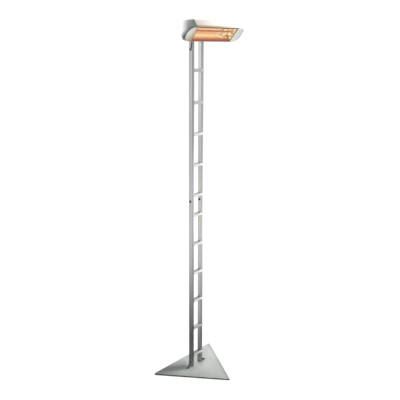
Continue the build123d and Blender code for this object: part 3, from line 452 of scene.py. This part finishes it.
def hot_reflector(name, glint_from):
    """Hammered reflector with the lamp's light painted on as glow: bands of salmon, orange and pale yellow
    that follow its folds, broken into painted glints to the right of a place, and painted shade at the mouth."""
    f = Finish(name, {"Metallic": 1.0, "Emission Strength": 0.92})
    height, depth = f.in_head()
    dents = f.cells(f.place(), 130.0)
    waves = f.noise(f.place(scale=(24, 70, 70)), 1.0, detail=3.0)
    wavy = f.add("ShaderNodeMath", {0: waves, 1: 0.05, 2: f.spread(height, *FOLDS)}, operation="MULTIPLY_ADD")
    bands = f.ramp(wavy, [
        (0.03, (0.42, 0.13, 0.06)), (0.09, (0.66, 0.28, 0.14)), (0.15, (0.98, 0.69, 0.38)),
        (0.22, (0.86, 0.53, 0.28)), (0.28, (0.74, 0.38, 0.19)), (0.36, (0.80, 0.44, 0.23)),
        (0.48, (0.88, 0.54, 0.33)), (0.62, (0.84, 0.48, 0.26)), (0.69, (0.78, 0.42, 0.22)),
        (0.73, (0.48, 0.19, 0.09)), (0.81, (0.48, 0.19, 0.09)), (0.85, (0.98, 0.69, 0.38)),
        (0.98, (0.84, 0.46, 0.28))])
    # painted highlights: glints on the hammered sheet
    glints = f.ramp(f.cells(f.place(scale=(0.7, 1.3, 1.3)), 52.0), [
        (0.24, (1.0, 0.92, 0.66)), (0.42, (0.96, 0.70, 0.40)), (0.55, (0.66, 0.37, 0.17)),
        (0.68, (0.26, 0.12, 0.03))])
    lit = f.mix(f.spread(f.axis("X"), glint_from, HEAD_HALF, 0.0, 0.95), bands, glints)
    # painted shade and dim glow at the mouth
    lip = f.mix(f.spread(height, *LIPS_PART), (0.36, 0.11, 0.05), (0.20, 0.12, 0.06))
    at_lip = f.calc(f.spread(depth, 0.004, 0.016, 1.0, 0.0),
                    f.spread(f.axis("X"), -0.15, 0.12, 0.25, 1.0))
    f.feed("Emission Color", f.mix(at_lip, lit, lip))
    f.feed("Base Color", f.between(dents, (0.14, 0.09, 0.05), (0.08, 0.05, 0.03), 0.2, 0.8))
    f.roughen(waves, 0.22, 0.34)
    f.bump(dents, 0.35, 0.0012)
    return f.material


def quartz():
    """Quartz tube, stained amber by the lamp inside it."""
    f = Finish("quartz", {"Transmission Weight": 0.2, "IOR": 1.45, "Emission Strength": 0.42})
    haze = f.noise(f.place(scale=(40, 200, 200)), 1.0)
    f.feed("Base Color", f.between(haze, (0.20, 0.08, 0.03), (0.30, 0.13, 0.06)))
    f.feed("Emission Color", f.between(haze, (0.50, 0.19, 0.08), (0.60, 0.25, 0.12)))
    f.roughen(haze, 0.06, 0.14)
    return f.material


def glowing_coil():
    """Tungsten coil, hottest along its middle."""
    f = Finish("glowing_coil", {"Emission Strength": 1.1, "Roughness": 0.5})
    outwards = f.spread(f.calc(f.axis("X"), 0.0, "ABSOLUTE"), 0.0, LAMP_HALF)
    f.feed("Emission Color", f.ramp(outwards, [
        (0.0, (1.0, 0.50, 0.16)), (0.85, (1.0, 0.40, 0.10)), (1.0, (0.6, 0.08, 0.01))]))
    return f.material


def ceramic(name, sockets, dark, light):
    """Unglazed steatite, faintly speckled."""
    f = Finish(name, sockets)
    specks = f.noise(f.place(), SPECKS)
    f.feed("Base Color", f.between(specks, dark, light, 0.35, 0.6))
    f.bump(specks, 0.15, 0.0002)
    return f, specks


def lit_ceramic():
    """Steatite inside the mouth, warm in the light of the lamp."""
    f, specks = ceramic("lit_ceramic", {"Roughness": 0.7, "Emission Strength": 0.7}, (0.20, 0.15, 0.10),
                        (0.28, 0.21, 0.14))
    f.feed("Emission Color", f.between(specks, (0.52, 0.28, 0.12), (0.70, 0.40, 0.18), 0.35, 0.6))
    return f.material


def rubber(name, shade, speck):
    """Matt moulded rubber with a fine bloom."""
    f = Finish(name, {"Specular IOR Level": 0.35})
    bloom = f.noise(f.place(), speck, detail=3.0)
    f.feed("Base Color", f.between(bloom, shade * 0.8, shade * 1.3))
    f.roughen(bloom, 0.6, 0.78)
    f.bump(bloom, 0.2, 0.0003)
    return f.material


def zinc():
    """Zinc-plated screw steel with a faint yellow-blue bloom."""
    f = Finish("zinc", {"Metallic": 1.0})
    bloom = f.noise(f.place(), 260.0, detail=3.0)
    f.feed("Base Color", f.between(bloom, (0.56, 0.56, 0.60), (0.70, 0.68, 0.62)))
    f.roughen(bloom, 0.25, 0.4)
    return f.material


def finish_nodes():
    """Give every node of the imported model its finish, and return the finishes of the slots."""
    columns = {
        "left": brushed_column("left_column_steel", LEFT_SIDE_TONES, LEFT_FRONT_TONES, (0.985, 0.975, 1.0),
                               -COLUMN_X + POST_HALF),
        "right": brushed_column("right_column_steel", RIGHT_SIDE_TONES, RIGHT_FRONT_TONES, (1.0, 1.0, 0.95),
                                COLUMN_X + POST_HALF),
    }
    by_node = {
        "front_frame": lit_frame(),
        "lead_grommet": rubber("grommet_rubber", 0.16, speck=700.0),
        "joint_bolts": powder_coat("joint_bolt_oxide", (0.003, 0.003, 0.004), metallic=0.0, roughness=0.55,
                                   speck=700.0),
        "right_reflector_end": hot_reflector("hot_reflector_end", glint_from=0.0),
    }
    cap = cast_silver()
    lamp_end = lit_ceramic()
    for side, column in columns.items():
        for name in ("upper_post", "lower_post", "spigot", "foot_stub"):
            by_node[side + "_" + name] = column
        by_node[side + "_end_cap"] = cap
        by_node[side + "_lamp_base"] = by_node[side + "_lamp_holder"] = lamp_end
    by_slot = {
        "column_steel": rung_steel(), "plate_steel": plate_steel(), "white_paint": white_coat(),
        "plain_screws": zinc(), "quartz": quartz(), "filament": glowing_coil(),
        "reflector_sheet": hot_reflector("hot_reflector", glint_from=0.035),
        "mat_rubber": rubber("mat_rubber", 0.03, speck=500.0),
        "seal_rubber": rubber("seal_rubber", 0.035, speck=700.0),
        "lead_sheath": rubber("lead_sheath", 0.028, speck=900.0),
        "silver_paint": powder_coat("silver_coat", (0.60, 0.60, 0.60), metallic=0.7, roughness=0.36),
        "black_paint": powder_coat("bracket_coat", (0.055, 0.055, 0.053), metallic=0.0, roughness=0.42),
        "black_screws": powder_coat("black_oxide", (0.02, 0.02, 0.02), metallic=0.4, roughness=0.35,
                                    speck=700.0),
        "black_plastic": powder_coat("black_plastic", (0.025, 0.025, 0.027), metallic=0.0, roughness=0.5,
                                     speck=900.0),
        "ceramic": ceramic("ceramic", {"Roughness": 0.6}, (0.72, 0.68, 0.60), (0.86, 0.83, 0.77))[0].material,
    }
    for part in frame["record"]["subparts"]:
        name = part["node"]
        mesh = nodes[name].data
        mesh.materials.clear()
        mesh.materials.append(by_node.get(name) or by_slot[part["material_slot"]])
    return by_slot


# ---- pieces -------------------------------------------------------------------------------------------

def piece(name, points, faces, material, body):
    """A mesh object at the origin that rides on a body and takes its finish from a slot."""
    mesh = bpy.data.meshes.new(name)
    mesh.from_pydata(points.tolist(), [], faces.tolist())
    mesh.materials.append(material)
    mesh.polygons.foreach_set("use_smooth", np.ones(len(faces), dtype=bool))
    mesh.update()
    made = bpy.data.objects.new(name, mesh)
    bpy.context.scene.collection.objects.link(made)
    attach(made, body)
    return made


def grid_faces(rows, columns):
    """Quads of an open tube made of rows rings, with columns points on each."""
    ring = np.arange(columns)
    after = (ring + 1) % columns
    start = np.arange(rows - 1)[:, None] * columns
    quads = np.stack([start + ring, start + after, start + columns + after, start + columns + ring], axis=-1)
    return quads.reshape(-1, 4)


def filament_coil(material):
    """Wound wire: centre c(t) = (x(t), r cos wt, r sin wt) on the lamp's axis, with a circle of the wire's
    radius carried in the frame of the coil's outward direction and its binormal."""
    turns, steps, sides = 128, 14, 6
    wire, coil = 0.00028, 0.00130
    t = np.linspace(0, 1, turns * steps + 1)[:, None]
    angle = 2 * pi * turns * t
    zero = np.zeros_like(t)
    centre = np.hstack([LAMP_HALF * (2 * t - 1), coil * np.cos(angle), coil * np.sin(angle)])
    outward = np.hstack([zero, np.cos(angle), np.sin(angle)])
    rise = 2 * LAMP_HALF / (2 * pi * turns)
    along = np.hstack([zero + rise, -coil * np.sin(angle), coil * np.cos(angle)])
    along /= np.linalg.norm(along, axis=1, keepdims=True)
    binormal = np.cross(along, outward)
    around = (2 * pi * np.arange(sides) / sides)[None, :, None]
    ring = outward[:, None, :] * np.cos(around) + binormal[:, None, :] * np.sin(around)
    points = (centre[:, None, :] + wire * ring).reshape(-1, 3) + np.array(LAMP_AXIS)
    made = piece("filament_coil", points, grid_faces(len(t), sides), material, "head")
    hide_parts("lamp_filament")


def lamp_lead(material):
    """Rubber lead on one smooth line through its listed points."""
    curve = bpy.data.curves.new("lamp_lead_line", "CURVE")
    curve.dimensions = "3D"
    curve.bevel_depth = LEAD_DIAMETER / 2
    curve.bevel_resolution = 6
    curve.resolution_u = 16
    curve.use_fill_caps = True
    line = curve.splines.new("NURBS")
    line.points.add(len(LEAD_ROUTE) - 1)
    for point, place in zip(line.points, LEAD_ROUTE):
        point.co = (*place, 1.0)
    line.order_u = 3
    line.use_endpoint_u = True
    curve.materials.append(material)
    lead = bpy.data.objects.new("lamp_lead_line", curve)
    bpy.context.scene.collection.objects.link(lead)
    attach(lead, "root")
    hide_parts("lamp_lead")


# ---- studio -------------------------------------------------------------------------------------------

def studio_floor():
    """Pale floor, a disc far wider than the heater."""
    around = np.linspace(0, 2 * pi, FLOOR_SIDES + 1)[:-1]
    points = np.stack([FLOOR_RADIUS * np.cos(around), FLOOR_RADIUS * np.sin(around), 0 * around], axis=-1)
    mesh = bpy.data.meshes.new("studio_floor")
    mesh.from_pydata(points.tolist(), [], [list(range(FLOOR_SIDES))])
    f = Finish("floor_paper", {"Roughness": 0.8, "Specular IOR Level": 0.1})
    f.feed("Base Color", f.between(f.noise(f.place(), 0.7), 0.97, 0.985))
    mesh.materials.append(f.material)
    floor = bpy.data.objects.new("studio_floor", mesh)
    bpy.context.scene.collection.objects.link(floor)


def softbox(name, place, aim, size, power):
    """Square area light at a place, aimed at a point."""
    light = bpy.data.lights.new(name, "AREA")
    light.shape = "SQUARE"
    light.size = size
    light.energy = power
    made = bpy.data.objects.new(name, light)
    made.location = place
    made.rotation_euler = (Vector(aim) - Vector(place)).to_track_quat("-Z", "Y").to_euler()
    bpy.context.scene.collection.objects.link(made)


def studio_light():
    """White surroundings, with a soft box to the left and one above."""
    world = bpy.data.worlds.new("studio")
    world.use_nodes = True
    background = world.node_tree.nodes["Background"]
    background.inputs["Color"].default_value = (1.0, 1.0, 1.0, 1.0)
    background.inputs["Strength"].default_value = 1.08
    bpy.context.scene.world = world
    softbox("left_box", (-3.2, 0.6, 2.6), aim=(0, 0, 1.2), size=2.4, power=30)
    softbox("top_box", (0.4, -0.6, 5.2), aim=(0, 0, 0), size=3.0, power=40)


def camera():
    """Camera at the height of the head, turned and tipped towards the column."""
    data = bpy.data.cameras.new("camera")
    data.lens, data.sensor_width = LENS, SENSOR
    data.shift_y = VIEW_SHIFT
    made = bpy.data.objects.new("camera", data)
    made.location = CAMERA_AT
    level = Euler((radians(90 - CAMERA_PITCH), 0, -radians(CAMERA_HEADING))).to_matrix()
    made.rotation_euler = (level @ Matrix.Rotation(radians(CAMERA_ROLL), 3, "Z")).to_euler()
    bpy.context.scene.collection.objects.link(made)
    bpy.context.scene.camera = made


camera()
slots = finish_nodes()
lamp_lead(slots["lead_sheath"])
filament_coil(slots["filament"])
studio_floor()
studio_light()
bpy.context.scene.view_settings.view_transform = "Standard"
